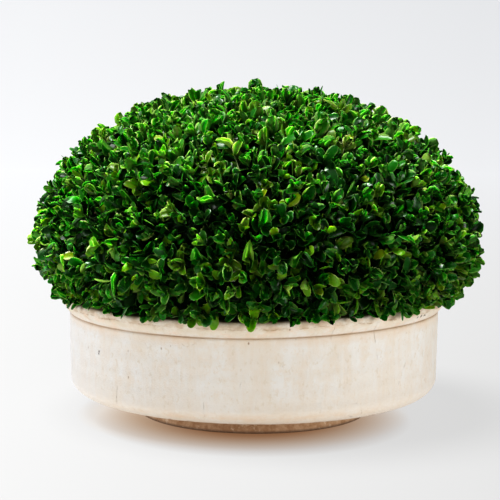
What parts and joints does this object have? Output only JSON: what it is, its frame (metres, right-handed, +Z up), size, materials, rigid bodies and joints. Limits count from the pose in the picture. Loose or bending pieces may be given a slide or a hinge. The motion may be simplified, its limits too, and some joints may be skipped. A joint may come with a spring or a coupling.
{
  "type": "potted preserved boxwood topiary",
  "caption": "Clipped boxwood dome of dense small leaves standing on a short hidden stem in a low round whitewashed terracotta bowl with a flared lip and a recessed foot.",
  "frame": {"origin": "middle of the bowl's flat foot, on the surface it stands on, which is the bottom centre of the whole part's box", "axes": "+Z up along the axis of the bowl and the dome; the part is round, so X and Y are level and the picture looks along +Y"},
  "size_m": [0.4451, 0.4431, 0.3257],
  "materials": {
    "terracotta": "matte",
    "filling": "matte",
    "bark": "matte",
    "foliage": "satin"
  },
  "bodies": {
    "root": {"pot": "terracotta", "pot_fill": "filling", "stem": "bark", "foliage_dome": "foliage"}
  },
  "joints": []
}
